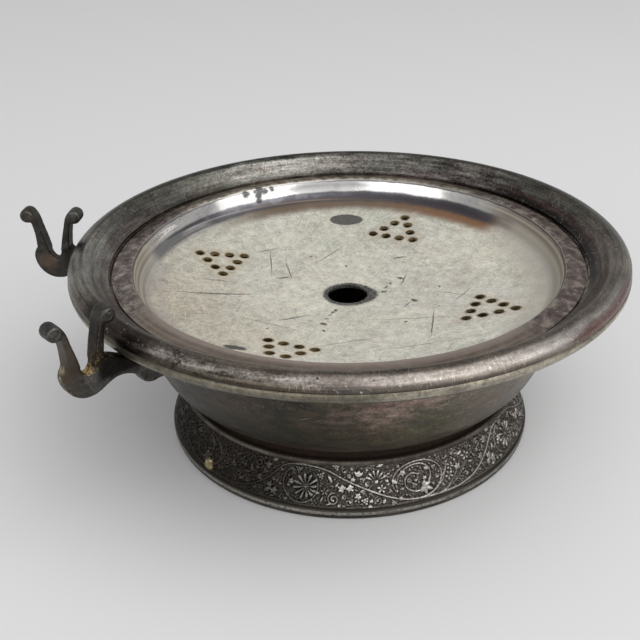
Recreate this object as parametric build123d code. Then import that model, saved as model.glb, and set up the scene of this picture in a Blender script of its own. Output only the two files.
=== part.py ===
from build123d import *
import os
from math import cos, hypot, pi, radians, sin, sqrt

# Footed butter dish: spun bowl on an ornamented foot, hollow rim moulding,
# lift-out pierced drainer plate and two cast knife rests.
# Millimetres. +Z is up, the origin is on the bowl's axis at the table,
# and the pair of knife rests is centred on -X.

os.makedirs("parts", exist_ok=True)

# ---- driving dimensions ----
sheet = 1.2                  # wall of the spun and stamped pieces

# foot
foot_bottom_radius = 63.0
foot_top_radius = 58.3
edge_wire_height = 3.6
band_top_z = 17.2
collar_top_z = 20.6
collar_neck_radius = 52.4

# bowl
mouth_radius = 79.0          # straight bore that the seat ring is soldered into
flange_radius = 88.0
flange_top_z = 61.0

# rim
rim_radius = 92.0
rim_crest_radius = 86.7
rim_crest_z = 68.3
rim_joint_z = 64.2           # where the roll meets its edge band

# drainer plate
plate_thickness = 1.0
plate_radius = 78.3
plate_centre_z = 46.15
plate_dish = 0.00176         # rise of the floor per radius squared
finger_hole_radius = 6.9
drain_hole_radius = 1.45
drain_group_radius = 49.1
drain_group_side = 16.0
drain_group_first_angle = 47.0
seat_inner_radius = 75.0
seat_top_z = 59.8

# knife rests
rest_half_angle = 24.0
prong_thickness = 5.4        # across the V, along the knife
body_thickness = 4.0
scroll_radius = 2.4
scroll_length = 6.0
outer_scroll = (109.0, 74.2)
inner_scroll = (92.7, 74.0)


# ---- helpers ----
def point(p):
    """A (radius, height) pair as a point of the XZ half plane."""
    return (p[0], 0, p[1])


def curve(points, start=None, end=None):
    """A smooth curve through (radius, height) pairs, with optional end directions."""
    if start and end:
        return Spline([point(p) for p in points], tangents=[point(start), point(end)])
    return Spline([point(p) for p in points])


def straight(*points):
    """Straight edges through (radius, height) pairs."""
    return [Line(point(a), point(b)) for a, b in zip(points, points[1:])]


def face_of(edges):
    return Face(Wire(edges))


def turned(edges):
    """A full turn of a closed half-plane outline about the vertical axis."""
    return revolve(face_of(edges), Axis.Z, 360)


def shifted(points, distance):
    """The points moved sideways to their path by distance, left of travel."""
    out = []
    last = len(points) - 1
    for i, p in enumerate(points):
        a = points[max(i - 1, 0)]
        b = points[min(i + 1, last)]
        dx = b[0] - a[0]
        dz = b[1] - a[1]
        length = hypot(dx, dz)
        out.append((p[0] - dz / length * distance, p[1] + dx / length * distance))
    return out


def save(shape, node, colour):
    shape.label = node
    shape.color = Color(*colour)
    export_step(shape, f"parts/{node}.step")


# ---- bowl ----
bowl_outside = [
    (52.0, collar_top_z), (57.6, 21.9), (62.4, 25.2), (66.0, 30.0), (68.6, 35.6),
    (71.3, 41.0), (74.2, 46.6), (77.3, 52.4), (79.8, 56.8),
]
bowl_inside = [(p[0], p[1]) for p in shifted(bowl_outside, sheet)]
bowl_inside[0] = (52.0, collar_top_z + sheet)
bowl_inside[-1] = (78.6, 57.0)

flange_under_z = flange_top_z - sheet
bowl_shoulder = [(81.0, 58.8), (82.8, flange_under_z)]
bowl = turned(
    straight((0, collar_top_z), bowl_outside[0])
    + [curve(bowl_outside + bowl_shoulder, (1, 0), (1, 0))]
    + straight(
        bowl_shoulder[-1], (flange_radius, flange_under_z), (flange_radius, flange_top_z),
        (mouth_radius, flange_top_z), (mouth_radius, 57.9), bowl_inside[-1],
    )
    + [curve(list(reversed(bowl_inside)))]
    + straight(bowl_inside[0], (0, collar_top_z + sheet), (0, collar_top_z))
)

# ---- rim moulding: hollow roll standing on the bowl's flange ----
inner_leg_radius = 79.4
roll_outside = [
    (inner_leg_radius, 61.9), (81.3, 63.1), (83.1, 65.0), (84.7, 67.2), (rim_crest_radius, rim_crest_z),
    (89.0, 67.9), (90.9, 66.6), (91.8, 65.2), (91.6, rim_joint_z),
]
roll_inside = [(80.7, 61.6), (82.3, 62.7), (84.1, 64.7), (85.6, 66.4), (87.0, 67.0),
               (88.7, 66.7), (90.1, 65.6), (90.6, rim_joint_z)]
rim_moulding = turned(
    straight((inner_leg_radius, flange_top_z), roll_outside[0])
    + [curve(roll_outside)]
    + straight(roll_outside[-1], roll_inside[-1])
    + [curve(list(reversed(roll_inside)))]
    + straight(roll_inside[0], (80.7, flange_top_z), (inner_leg_radius, flange_top_z))
)

# ---- rim edge band: plain strip that closes the roll over the flange's edge ----
rim_edge_band = turned(
    straight((90.6, rim_joint_z), (91.6, rim_joint_z))
    + [curve([(91.6, rim_joint_z), (rim_radius, 63.6), (rim_radius, 62.8), (91.4, 61.6), (90.1, 60.6)])]
    + straight((90.1, 60.6), (flange_radius, 60.0), (flange_radius, 61.0), (89.6, 61.6), (90.6, 62.6),
               (90.6, rim_joint_z))
)

# ---- ledge that the drainer's flange lies on ----
drainer_seat_ring = turned(
    straight(
        (seat_inner_radius, seat_top_z - 1.2), (mouth_radius, seat_top_z - 1.2),
        (mouth_radius, seat_top_z), (seat_inner_radius, seat_top_z),
        (seat_inner_radius, seat_top_z - 1.2),
    )
)


# ---- drainer plate ----
def floor_z(radius):
    return plate_centre_z + plate_dish * radius ** 2


floor_top = [(r, floor_z(r)) for r in (finger_hole_radius, 20.0, 34.0, 48.0, 60.0, 65.0)]
cove_top = [(68.2, 55.1), (69.9, 57.2), (70.8, 59.4), (71.5, 61.3), (72.7, 62.15), (74.0, 62.02)]
plate_top = floor_top + cove_top
plate_under = shifted(plate_top, -plate_thickness)
plate_under[0] = (finger_hole_radius, floor_z(finger_hole_radius) - plate_thickness)
plate_under[-1] = (cove_top[-1][0] - 0.1, cove_top[-1][1] - plate_thickness)
flange_edge_z = 61.1
flange_fall = (1, (flange_edge_z - cove_top[-1][1]) / (plate_radius - cove_top[-1][0]))

drainer_plate = turned(
    [curve(plate_top, (1, 2 * plate_dish * finger_hole_radius), flange_fall)]
    + straight(plate_top[-1], (plate_radius, flange_edge_z), (plate_radius, flange_edge_z - plate_thickness),
               plate_under[-1])
    + [curve(plate_under, (1, 2 * plate_dish * finger_hole_radius), flange_fall)]
    + straight(plate_under[0], plate_top[0])
)


def triangle_of_holes():
    """Nine hole centres on the sides of an equal-sided triangle, about its middle."""
    reach = drain_group_side / sqrt(3)
    corners = []
    for k in range(3):
        a = radians(120 * k)
        corners.append((reach * cos(a), reach * sin(a)))
    holes = []
    for k in range(3):
        a = corners[k]
        b = corners[(k + 1) % 3]
        for step in range(3):
            holes.append((a[0] + (b[0] - a[0]) * step / 3, a[1] + (b[1] - a[1]) * step / 3))
    return holes


drills = []
for quarter in range(4):
    turn = Rot(0, 0, drain_group_first_angle + 90 * quarter)
    for x, y in triangle_of_holes():
        drills.append(turn * Pos(drain_group_radius + x, y, 50) * Cylinder(drain_hole_radius, 20))
drainer_plate = drainer_plate - drills

# ---- foot ----
foot_collar = turned(
    straight((46.5, collar_top_z), (collar_neck_radius, collar_top_z))
    + [curve([(collar_neck_radius, collar_top_z), (53.6, 19.5), (55.7, 18.8), (57.8, 18.8)])]
    + [curve([(57.8, 18.8), (58.9, 18.5), (59.2, 17.9), (58.9, band_top_z)])]
    + straight((58.9, band_top_z), (56.6, band_top_z), (46.5, 19.2), (46.5, collar_top_z))
)

band_outside = [(foot_top_radius, band_top_z), (59.1, 13.6), (60.2, 10.2), (61.5, 6.8),
                (foot_bottom_radius, edge_wire_height)]
band_inside = [(p[0] - sheet, p[1]) for p in band_outside]
foot_band = turned(
    [curve(band_outside)]
    + straight(band_outside[-1], band_inside[-1])
    + [curve(list(reversed(band_inside)))]
    + straight(band_inside[0], band_outside[0])
)

foot_edge_wire = turned(
    straight((60.9, edge_wire_height), (60.9, 0.0), (62.9, 0.0))
    + [curve([(62.9, 0.0), (63.4, 0.5), (63.7, 1.7), (63.5, 3.0), (63.0, edge_wire_height)])]
    + straight((63.0, edge_wire_height), (60.9, edge_wire_height))
)

# ---- knife rests ----
# Side view of one rest as (distance from the dish's axis, height): two flat
# prongs on a thinner rounded body, and an arm that runs in to the bowl's wall.
crotch = [(99.0, 61.4), (99.7, 59.5), (101.0, 58.4), (102.3, 59.3), (103.1, 61.4)]
outer_prong_in = [(103.1, 61.4), (104.1, 65.8), (105.3, 70.6), (106.5, 74.6), (108.9, 76.5)]
outer_prong_out = [(107.8, 72.4), (107.2, 69.4), (106.9, 66.0), (107.1, 62.8)]
inner_prong_in = [(95.8, 62.4), (95.5, 65.2), (95.0, 68.4), (94.2, 71.8)]
inner_prong_out = [(92.8, 76.3), (95.0, 74.9), (96.3, 71.6), (97.6, 67.0), (99.0, 61.4)]
body_under = [
    (107.1, 62.8), (108.6, 60.4), (108.4, 57.0), (106.2, 53.3), (102.6, 51.3), (99.0, 51.4),
    (96.0, 52.7), (93.0, 53.8), (90.0, 53.7), (87.2, 52.6), (85.2, 50.9),
]
toe = [(85.2, 50.9), (84.3, 49.0), (82.4, 47.7), (79.5, 47.6)]
arm_top = [
    (79.5, 56.0), (84.6, 57.8), (88.6, 59.1), (90.2, 59.8), (91.8, 60.7), (94.2, 61.8), (95.8, 63.0),
]

outer_prong = face_of(
    [curve(outer_prong_in)]
    + straight(outer_prong_in[-1], outer_scroll, outer_prong_out[0])
    + [curve(outer_prong_out)]
    + straight(outer_prong_out[-1], outer_prong_in[0])
)
inner_prong = face_of(
    [curve(inner_prong_in)]
    + straight(inner_prong_in[-1], inner_scroll, inner_prong_out[0])
    + [curve(inner_prong_out)]
    + straight(inner_prong_out[-1], inner_prong_in[0])
)
body = face_of(
    [curve(body_under), curve(toe)]
    + straight(toe[-1], (70.0, 47.6), (70.0, 56.0), arm_top[0])
    + [curve(arm_top)]
    + straight(arm_top[-1], crotch[0])
    + [curve(crotch)]
    + straight(crotch[-1], body_under[0])
)


def slab(face, thickness):
    return extrude(face, amount=thickness / 2, dir=(0, 1, 0), both=True)


def scroll(centre):
    """A rounded scroll end, lying across the prong it finishes."""
    drum = Cylinder(scroll_radius, scroll_length)
    drum = fillet(drum.edges().filter_by(GeomType.CIRCLE), 1.1)
    return Pos(centre[0], 0, centre[1]) * Rot(90, 0, 0) * drum


# everything inside the bowl's outer face, taken off so that the arm ends on the wall
bowl_envelope = turned(
    straight((0, collar_top_z), bowl_outside[0])
    + [curve(bowl_outside + bowl_shoulder, (1, 0), (1, 0))]
    + straight(bowl_shoulder[-1], (0, flange_under_z), (0, collar_top_z))
)
rest = slab(outer_prong, prong_thickness) + slab(inner_prong, prong_thickness) + slab(body, body_thickness)
rest = rest + scroll(outer_scroll) + scroll(inner_scroll) - bowl_envelope
front_knife_rest = Rot(0, 0, 180 + rest_half_angle) * rest
rear_knife_rest = Rot(0, 0, 180 - rest_half_angle) * rest

# ---- one file per piece ----
silver = (0.62, 0.60, 0.56)
dark = (0.30, 0.28, 0.26)
save(bowl, "bowl", silver)
save(rim_moulding, "rim_moulding", silver)
save(rim_edge_band, "rim_edge_band", silver)
save(drainer_seat_ring, "drainer_seat_ring", silver)
save(drainer_plate, "drainer_plate", silver)
save(foot_collar, "foot_collar", dark)
save(foot_band, "foot_band", dark)
save(foot_edge_wire, "foot_edge_wire", silver)
save(front_knife_rest, "front_knife_rest", dark)
save(rear_knife_rest, "rear_knife_rest", dark)
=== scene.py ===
from math import atan2, ceil, cos, degrees, floor, pi, radians, sin

import bpy
import numpy as np
from mathutils import Matrix, Vector


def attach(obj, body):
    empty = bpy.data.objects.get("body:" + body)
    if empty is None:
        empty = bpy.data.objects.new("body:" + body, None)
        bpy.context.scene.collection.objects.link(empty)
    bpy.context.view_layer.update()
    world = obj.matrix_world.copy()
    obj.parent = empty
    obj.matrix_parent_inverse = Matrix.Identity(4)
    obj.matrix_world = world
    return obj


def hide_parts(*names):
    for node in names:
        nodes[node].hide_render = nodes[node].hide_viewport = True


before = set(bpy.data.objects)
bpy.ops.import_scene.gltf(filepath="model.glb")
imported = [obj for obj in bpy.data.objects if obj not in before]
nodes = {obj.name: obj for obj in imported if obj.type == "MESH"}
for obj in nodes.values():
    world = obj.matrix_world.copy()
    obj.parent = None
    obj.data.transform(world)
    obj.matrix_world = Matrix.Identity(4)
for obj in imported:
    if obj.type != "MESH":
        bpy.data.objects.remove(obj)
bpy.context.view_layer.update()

# A tarnished silver-plated butter dish: spun bowl on a foot with a rolled
# relief of scrolling foliage, hollow rim, lift-out drainer, two knife rests.
# The frame is in metres. Materials and relief are worked out in millimetres.
MM = 0.001

# ---- places on the object, millimetres ----
DRAIN_GROUP_RADIUS = 49.1
DRAIN_GROUP_FIRST_ANGLE = 47.0
DRAIN_GROUP_SIDE = 16.0
DRAIN_HOLE_RADIUS = 1.45
PLATE_CENTRE_Z = 46.15
PLATE_DISH = 0.00176         # rise of the floor per radius squared
BAND_BOTTOM_Z = 3.6
BAND_TOP_Z = 17.2
REST_ANGLES = {"front_knife_rest": 204.0, "rear_knife_rest": 156.0}
OUTER_SCROLL = (109.0, 74.2)
INNER_SCROLL = (92.7, 74.0)


# ---- Materials ----
PLUM = (0.12, 0.082, 0.086)
NEAR_BLACK = (0.012, 0.01, 0.009)
CREAM = (0.81, 0.785, 0.655)
BRASS = (0.25, 0.165, 0.06)
OCHRE = (0.4, 0.27, 0.085)
RAGGED = (1.5, 1.3)          # how far an edge strays, and over what length
WAVY = (0.8, 4.0)
ANY_DEPTH = 1e4
SEED_STEP = 7.31             # from one noise of a material to the next


class Surface:
    """A metal's node tree, built with short calls. Lengths are in millimetres."""

    def __init__(self, name):
        self.material = bpy.data.materials.new(name)
        self.material.use_nodes = True
        self.tree = self.material.node_tree
        self.shader = self.tree.nodes["Principled BSDF"]
        self.shader.inputs["Metallic"].default_value = 1.0
        place = self.made("TexCoord", {}, "Object")
        self.where = self.vector("SCALE", place, scale=1 / MM)
        parts = self.tree.nodes.new("ShaderNodeSeparateXYZ")
        self.put(parts.inputs[0], self.where)
        self.x, self.y, self.z = parts.outputs
        self.radius = self.vector("LENGTH", self.join(self.x, self.y, 0.0))
        self.angle = self.math("ARCTAN2", self.y, self.x)
        self.seed = 0.0
        self.shaken_places = {}

    def put(self, socket, value):
        """Link a socket, or set a number, a vector or a colour's three numbers."""
        if isinstance(value, bpy.types.NodeSocket):
            self.tree.links.new(value, socket)
        elif socket.type == "RGBA":
            socket.default_value = (*value, 1.0)
        else:
            socket.default_value = value

    def made(self, kind, values, out=0, **settings):
        """An output of a new node. Values go to its sockets, given by number or name."""
        node = self.tree.nodes.new("ShaderNode" + kind)
        for name, setting in settings.items():
            setattr(node, name, setting)
        for socket, value in values.items():
            self.put(node.inputs[socket], value)
        return node.outputs[out]

    def math(self, kind, a, b=0.0):
        return self.made("Math", {0: a, 1: b}, operation=kind)

    def vector(self, kind, a, b=(0.0, 0.0, 0.0), scale=1.0):
        out = "Value" if kind == "LENGTH" else "Vector"
        return self.made("VectorMath", {0: a, 1: b, 3: scale}, out, operation=kind)

    def join(self, x, y, z):
        return self.made("CombineXYZ", {0: x, 1: y, 2: z})

    def mapped(self, vector, at, turn, size):
        """The same places in a frame set at a point, turned about Z by degrees, and stretched."""
        rotation = (0.0, 0.0, radians(turn))
        values = {"Vector": vector, "Location": at, "Rotation": rotation, "Scale": size}
        return self.made("Mapping", values, vector_type="TEXTURE")

    def noise(self, size, detail=3.0, rough=0.55, place=None, twist=0.0):
        """Noise whose lumps are about size millimetres across, 0 to 1."""
        self.seed += SEED_STEP
        values = {"Vector": place or self.where, "W": self.seed, "Scale": 1.0 / size,
                  "Detail": detail, "Roughness": rough, "Distortion": twist}
        return self.made("TexNoise", values, noise_dimensions="4D")

    def cells(self, size):
        """Distance to the nearest of scattered points, about size millimetres apart."""
        return self.made("TexVoronoi", {"Vector": self.where, "Scale": 1.0 / size}, "Distance")

    def attribute(self, name):
        """A number stored on the mesh's points."""
        return self.made("Attribute", {}, "Fac", attribute_name=name)

    def fade(self, value, low, high):
        """0 below low, 1 above high, smooth between; low may be the larger."""
        ends = (low, high, 0.0, 1.0) if low < high else (high, low, 1.0, 0.0)
        return self.made("MapRange", dict(enumerate((value, *ends))), interpolation_type="SMOOTHSTEP")

    def between(self, value, low, high, soft):
        """1 from low to high, falling to 0 over soft on each side."""
        rise = self.fade(value, low - soft, low)
        fall = self.fade(value, high + soft, high)
        return self.math("MULTIPLY", rise, fall)

    def joined(self, kind, values):
        out = values[0]
        for value in values[1:]:
            out = self.math(kind, out, value)
        return out

    def times(self, *values):
        return self.joined("MULTIPLY", values)

    def most(self, *values):
        return self.joined("MAXIMUM", values)

    def mix(self, amount, a, b):
        """Colour a, going to colour b as amount goes to 1."""
        return self.made("Mix", {0: amount, 6: a, 7: b}, 2, data_type="RGBA", clamp_factor=True)

    def level(self, amount, a, b):
        """Number a, going to number b as amount goes to 1."""
        return self.made("Mix", {0: amount, 2: a, 3: b}, data_type="FLOAT", clamp_factor=True)

    def lay(self, *parts):
        """Lay the last part, a colour, over what is there, as far as the other parts' product says."""
        *amounts, tone = parts
        self.colour = self.mix(self.times(*amounts), self.colour, tone)

    def gain(self, *gains):
        """Make what is there lighter or darker; a gain of 1 leaves it as it is."""
        values = {0: 1.0, 6: self.colour, 7: self.times(*gains)}
        self.colour = self.made("Mix", values, 2, data_type="RGBA", blend_type="MULTIPLY")

    def swing(self, noise, strength):
        """A gain of about 1 that moves up and down with a noise."""
        return self.math("ADD", self.times(noise, strength), 1.0 - strength / 2)

    def stray(self, value, noise, reach):
        """A number that strays from value by up to half of reach each way, with a noise."""
        return self.math("ADD", value, self.times(self.math("SUBTRACT", noise, 0.5), reach))

    def sector(self, first, last, soft):
        """1 between two angles in degrees, falling to 0 over soft degrees on each side."""
        return self.between(self.angle, radians(first), radians(last), radians(soft))

    def drawn(self, ring, stretch):
        """The place on the object, so squeezed that noise near radius ring is drawn out round it."""
        keep = self.math("SUBTRACT", 1.0, self.math("DIVIDE", ring * (1 - 1 / stretch), self.radius))
        return self.join(self.times(self.x, keep), self.times(self.y, keep), self.z)

    def shaken(self, amount, grain):
        """The place on the object, jittered by amount over lumps of size grain."""
        if (amount, grain) not in self.shaken_places:
            values = {"Vector": self.where, "Scale": 1.0 / grain, "Detail": 2.0}
            shake = self.made("TexNoise", values, "Color")
            offset = self.vector("SUBTRACT", shake, (0.5, 0.5, 0.5))
            place = self.vector("ADD", self.where, self.vector("SCALE", offset, scale=amount))
            self.shaken_places[(amount, grain)] = place
        return self.shaken_places[(amount, grain)]

    def spot(self, x, y, half_length, half_width, turn, edge, soft, z=None):
        """1 in an ellipse on the plate, or round a point if z is given; edge says how it is shaken."""
        deep = ANY_DEPTH if z is None else half_width
        near = self.mapped(self.shaken(*edge), (x, y, z or 0.0), turn, (half_length, half_width, deep))
        return self.fade(self.vector("LENGTH", near), 1.0 + soft, 1.0 - soft)

    def line(self, start, end, width):
        """A thin tapering scratch from start to end on the plate."""
        dx = end[0] - start[0]
        dy = end[1] - start[1]
        length = (dx * dx + dy * dy) ** 0.5
        middle = ((start[0] + end[0]) / 2, (start[1] + end[1]) / 2)
        return self.spot(*middle, length / 2, width / 2, degrees(atan2(dy, dx)), WAVY, 0.5)

    def scratches(self, turns, length, width, low, high):
        """Short straight scratches in several directions, as one mask."""
        out = None
        for turn in turns:
            laid = self.mapped(self.where, (0.0, 0.0, 0.0), turn, (length, width, length))
            hit = self.fade(self.noise(1.0, 1.0, 0.4, laid, 0.08), low, high)
            out = hit if out is None else self.most(out, hit)
        return out

    def bump(self, height, distance):
        """Raise the surface by up to distance millimetres where height is 1."""
        node = self.tree.nodes.new("ShaderNodeBump")
        node.inputs["Strength"].default_value = 1.0
        node.inputs["Distance"].default_value = distance * MM
        self.put(node.inputs["Height"], height)
        last = self.shader.inputs["Normal"]
        if last.is_linked:
            self.tree.links.new(last.links[0].from_socket, node.inputs["Normal"])
        self.tree.links.new(node.outputs[0], last)

    def finish(self, rough):
        self.put(self.shader.inputs["Base Color"], self.colour)
        self.put(self.shader.inputs["Roughness"], rough)
        return self.material


def turned_streaks(s, width):
    """Fine lines that run round the dish, as spinning and polishing leave."""
    fine = s.join(s.radius, s.z, 0)
    drift = s.vector("SCALE", s.where, scale=0.02)
    return s.noise(width, 3, 0.6, s.vector("ADD", fine, drift))


def rim_material():
    s = Surface("rim_tarnished_plate")
    round_rim = s.drawn(87, 4)
    broad = s.noise(34, 3)
    patch = s.noise(8, 4, 0.6, round_rim)
    cloud = s.noise(2.8, 4, 0.68, round_rim)
    fine = s.noise(0.8, 3, 0.68)
    streak = turned_streaks(s, 0.9)

    # neutral olive grey, lighter on the left, browner in front, darkest at the back right
    front = s.fade(s.y, 10, -55)
    s.colour = s.mix(s.fade(broad, 0.35, 0.65), (0.2, 0.197, 0.176), (0.142, 0.139, 0.118))
    left = s.times(s.fade(s.x, -62, -80), s.fade(s.y, -42, -15))
    s.lay(left, 0.65, (0.31, 0.305, 0.275))
    s.lay(front, 0.9, (0.24, 0.198, 0.158))
    front_left = s.sector(-170, -128, 12)
    s.lay(front_left, 0.6, (0.11, 0.092, 0.068))
    # painted shade beside the highlight on the front right
    s.lay(s.sector(-66, -42, 9), 0.5, (0.125, 0.104, 0.09))
    s.lay(s.sector(78, 146, 14), 0.7, (0.098, 0.095, 0.082))
    back_right = s.sector(-20, 66, 20)
    s.lay(back_right, 0.8, (0.07, 0.066, 0.054))
    s.lay(s.fade(patch, 0.5, 0.66), 0.6, (0.185, 0.135, 0.122))
    s.lay(s.fade(s.noise(14, 4, 0.62, round_rim), 0.53, 0.66), 0.45, (0.105, 0.076, 0.072))

    # plum stain down in the groove beside the drainer, widest at the back right
    inside = s.stray(s.radius, cloud, 7)
    plain = s.most(s.sector(62, 122, 14), s.sector(-156, -50, 12))
    groove = s.times(s.fade(inside, 83.8, 80.8), s.fade(plain, 1, 0))
    s.lay(groove, s.fade(s.noise(7, 3), 0.34, 0.56), 0.65, PLUM)
    stain = s.times(s.fade(inside, 84, 81.5), s.sector(-35, 34, 9))
    s.lay(stain, 0.85, (0.05, 0.028, 0.028))
    # painted shade: near black at the rim's inner foot, deepening the gap beside the drainer on the right
    gap = s.times(s.fade(s.radius, 81.6, 80.6), s.sector(-52, 24, 10))
    s.lay(gap, 0.85, (0.014, 0.01, 0.01))

    # painted highlight on the crest in front, with painted shade just inside it; the inner slope behind
    # rubbed bright by handling
    loose = s.stray(s.radius, s.noise(12, 3), 8)
    near_crest = s.stray(s.radius, patch, 3)
    inner_side = s.times(s.fade(near_crest, 89.5, 88), s.sector(-150, -48, 14))
    s.lay(inner_side, 0.82, (0.146, 0.12, 0.099))
    outer_back = s.times(s.fade(loose, 84.6, 86.6), s.sector(70, 150, 16))
    s.lay(outer_back, 0.8, (0.06, 0.058, 0.048))
    crest = s.between(near_crest, 89.3, 91, 0.9)
    slope = s.between(loose, 80, 84.6, 1.4)
    rubbed_and_highlight = s.most(
        s.times(crest, s.sector(-106, -50, 8), 0.44),
        s.times(crest, s.sector(-150, -116, 8), 0.62),
        s.times(crest, s.sector(-102, -66, 12), 0.62),
        s.times(slope, s.sector(28, 100, 12), 0.38),
    )
    bright = s.times(rubbed_and_highlight, s.fade(s.math("ADD", s.times(cloud, 0.6), s.times(fine, 0.4)), 0.38, 0.6))
    s.lay(bright, 0.75, (0.46, 0.442, 0.42))

    # painted shade on the outer side and underside of the roll, black grime by the front rest, a painted
    # highlight along the front crest, a red tinge on the right
    side = s.stray(s.z, patch, 1.4)
    outer = s.times(s.fade(s.radius, 88, 90), s.fade(s.y, 30, -20))
    s.lay(s.fade(side, 66.7, 65.9), outer, 0.82, (0.108, 0.088, 0.068))
    s.lay(s.fade(s.z, 65.2, 64.3), outer, 0.5, (0.055, 0.046, 0.035))
    s.lay(s.fade(side, 66.2, 65.4), outer, front_left, 0.7, (0.046, 0.042, 0.032))
    by_rest = s.times(s.sector(-166, -149, 6), s.fade(s.radius, 84.5, 87.5))
    speckled = s.times(s.sector(-168, -138, 9), s.fade(s.noise(4, 4, 0.72), 0.52, 0.6))
    grime = s.most(s.times(by_rest, s.fade(cloud, 0.32, 0.5)), s.times(speckled, 0.8))
    s.lay(grime, 0.9, (0.022, 0.016, 0.012))
    s.gain(s.swing(cloud, 2.6), s.swing(fine, 2.1), s.swing(streak, 2.6))
    # painted highlight: a smooth gleam along the crest in front
    gleam = s.times(s.between(near_crest, 88.9, 91.3, 1.2), s.sector(-108, -48, 10))
    s.lay(gleam, 0.42,
          s.mix(s.sector(-118, -84, 10), (0.44, 0.417, 0.405), (0.205, 0.185, 0.175)))
    red = s.times(s.sector(-63, -46, 8), s.fade(s.radius, 89.6, 91.4))
    s.lay(red, 0.62, (0.185, 0.066, 0.058))
    light_cuts = s.scratches((18, 64, 101, 148), 4, 0.2, 0.67, 0.75)
    light_cuts = s.times(light_cuts, s.fade(front_left, 1, 0))
    dark_pits = s.fade(s.noise(1.2, 2, 0.5), 0.69, 0.75)
    flecks = s.times(s.fade(s.noise(1, 1, 0.5), 0.72, 0.76), s.fade(s.y, -5, -30))
    s.lay(light_cuts, 0.5, (0.46, 0.44, 0.4))
    s.lay(flecks, 0.8, (0.6, 0.56, 0.47))
    s.lay(dark_pits, 0.85, NEAR_BLACK)

    rough = s.level(s.fade(cloud, 0.3, 0.7), 0.25, 0.39)
    s.bump(s.noise(16, 2), 0.25)
    s.bump(fine, 0.022)
    s.bump(dark_pits, -0.1)
    return s.finish(rough)


def edge_band_material():
    s = Surface("rim_edge_strip")
    patch = s.noise(7, 4, 0.6)
    cloud = s.noise(2.2, 4, 0.65)
    fine = s.noise(0.8, 3, 0.6)
    s.colour = s.mix(s.fade(patch, 0.35, 0.65), (0.235, 0.21, 0.165), (0.165, 0.148, 0.118))
    crest = s.between(s.z, 62, 63.6, 0.3)
    worn = s.times(crest, s.fade(s.noise(26, 4, 0.6), 0.36, 0.62))
    s.lay(worn, 0.7, (0.5, 0.46, 0.375))
    s.lay(s.fade(cloud, 0.58, 0.7), 0.6, (0.07, 0.058, 0.042))
    left = s.fade(s.x, -5, -50)
    s.lay(left, 0.6, (0.105, 0.092, 0.066))
    s.gain(s.swing(cloud, 1.8), s.swing(fine, 1.4))
    # painted shade along the underside of the band
    s.lay(s.fade(s.z, 61.8, 61.1), (0.04, 0.034, 0.025))
    s.bump(fine, 0.02)
    return s.finish(s.level(patch, 0.3, 0.44))


def bowl_material():
    s = Surface("bowl_tarnished_plate")
    round_bowl = s.drawn(74, 2)
    broad = s.noise(26, 3)
    patch = s.noise(9, 6, 0.7, round_bowl)
    cloud = s.noise(3.2, 4, 0.7, round_bowl)
    fine = s.noise(0.9, 3, 0.65)
    streak = turned_streaks(s, 1.2)

    s.colour = s.mix(s.fade(broad, 0.38, 0.62), (0.118, 0.106, 0.058), (0.13, 0.092, 0.06))
    high_up = s.level(s.fade(s.z, 36, 46), 0.35, 0.95)
    s.lay(s.fade(patch, 0.5, 0.55), high_up, (0.168, 0.1, 0.082))
    s.lay(s.fade(patch, 0.6, 0.64), high_up, 0.8, (0.245, 0.168, 0.142))
    s.lay(s.fade(streak, 0.48, 0.68), 0.5, (0.175, 0.162, 0.125))
    s.lay(s.fade(cloud, 0.54, 0.68), 0.5, (0.055, 0.046, 0.034))

    # rubbed band below the rim, and a painted highlight on the right side
    rubbed = s.times(s.between(s.z, 44, 54, 6), s.fade(s.noise(17, 4, 0.65), 0.44, 0.6))
    s.lay(rubbed, s.fade(cloud, 0.36, 0.58), 0.8, (0.27, 0.2, 0.168))
    # painted highlight: a lighter patch on the right of the bowl below the rim
    right = s.times(s.sector(-52, -12, 10), s.fade(s.z, 40, 50))
    s.lay(right, s.fade(cloud, 0.34, 0.6), 0.7, (0.4, 0.37, 0.31))
    left = s.times(s.fade(s.x, -12, -42), s.fade(s.z, 60, 52))
    s.lay(left, 0.78, s.mix(s.fade(patch, 0.42, 0.58), (0.042, 0.037, 0.015), (0.082, 0.053, 0.029)))
    s.lay(s.fade(s.z, 44, 27), 0.7, (0.044, 0.04, 0.021))
    s.gain(s.swing(cloud, 3.6), s.swing(fine, 2.6), s.swing(patch, 2.4), s.level(left, 1, 0.56))
    foot_dark = s.fade(s.z, 31, 22)
    s.lay(foot_dark, (0.066, 0.044, 0.031))

    cuts = s.scratches((12, 78, 140), 5, 0.2, 0.68, 0.76)
    s.lay(cuts, s.fade(s.z, 36, 50), 0.7, (0.4, 0.37, 0.31))
    specks = s.fade(s.cells(5.5), 0.085, 0.05)
    lit = s.times(specks, s.fade(s.noise(15, 2), 0.5, 0.58), s.fade(s.z, 36, 46))
    s.lay(lit, (0.62, 0.58, 0.48))
    pit = s.spot(-2.2, -77.3, 1.1, 1.1, 0, (0.9, 0.8), 0.3, 52)
    pits = s.most(s.fade(s.noise(1.4, 2, 0.5), 0.7, 0.76), pit)
    s.lay(pits, 0.85, NEAR_BLACK)

    s.put(s.shader.inputs["Metallic"], s.level(foot_dark, 0.9, 0.35))
    rough = s.level(s.fade(cloud, 0.3, 0.7), 0.28, 0.44)
    s.bump(s.noise(19, 2), 0.35)
    s.bump(streak, 0.02)
    s.bump(fine, 0.015)
    return s.finish(rough)


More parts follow.
